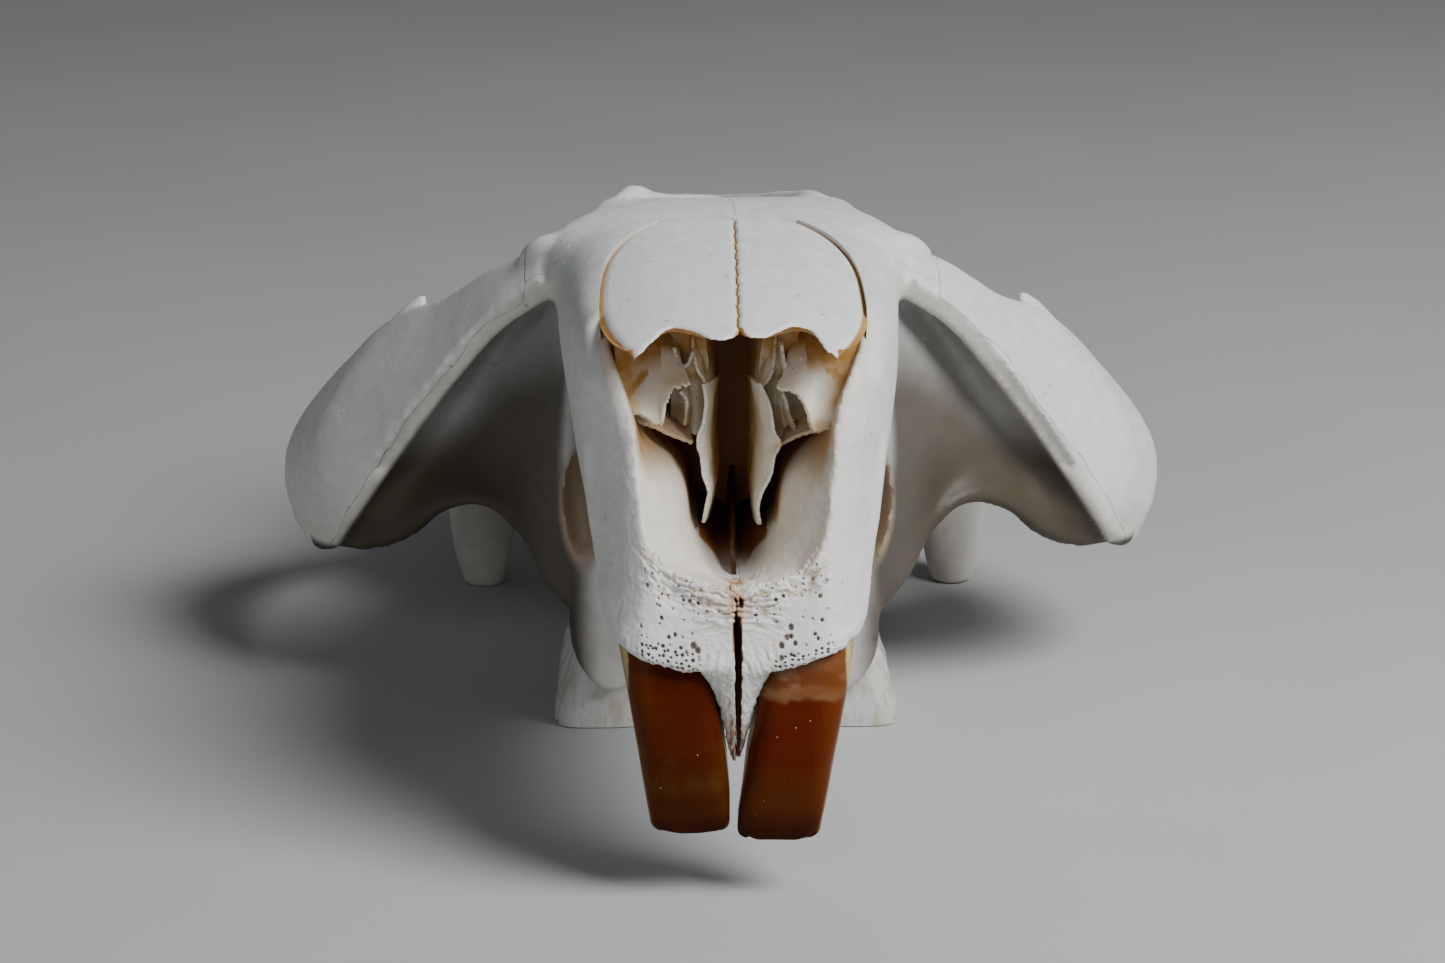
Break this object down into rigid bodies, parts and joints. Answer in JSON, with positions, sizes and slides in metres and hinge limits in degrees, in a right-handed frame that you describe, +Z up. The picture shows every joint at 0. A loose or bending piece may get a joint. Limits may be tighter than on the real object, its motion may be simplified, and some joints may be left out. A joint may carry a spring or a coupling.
{
  "type": "beaver skull",
  "caption": "Skull of an adult beaver without its lower jaw, resting on its cheek teeth, with long curved orange incisors and wide flaring cheek arches.",
  "frame": {"origin": "middle of the skull's length and width, on the surface that it rests on", "axes": "+Z up, -Y the way the skull faces, +X towards the skull's own left in the picture's right half"},
  "size_m": [0.0994, 0.1335, 0.0569],
  "materials": {
    "bone": "dry cleaned bone, matt with a faint sheen",
    "bone_pale": "dry cleaned bone, smoother and paler",
    "bone_ochre": "thin ochre bone inside the nose",
    "tooth": "satin dentine and pale enamel",
    "enamel": "glossy orange-brown enamel"
  },
  "bodies": {
    "root": {"premaxilla_right": "bone", "premaxilla_left": "bone", "maxilla_right": "bone", "maxilla_left": "bone", "jugal_right": "bone", "jugal_left": "bone", "frontal_right": "bone", "frontal_left": "bone", "parietal_right": "bone", "parietal_left": "bone", "squamosal_right": "bone", "squamosal_left": "bone", "sphenoid": "bone", "occipital": "bone", "nasal_right": "bone_pale", "nasal_left": "bone_pale", "bulla_right": "bone_pale", "bulla_left": "bone_pale", "turbinate_right": "bone_ochre", "turbinate_left": "bone_ochre", "vomer": "bone_ochre", "incisor_right": "enamel", "incisor_left": "enamel", "premolar4_right": "tooth", "premolar4_left": "tooth", "molar1_right": "tooth", "molar1_left": "tooth", "molar2_right": "tooth", "molar2_left": "tooth", "molar3_right": "tooth", "molar3_left": "tooth"}
  },
  "joints": []
}
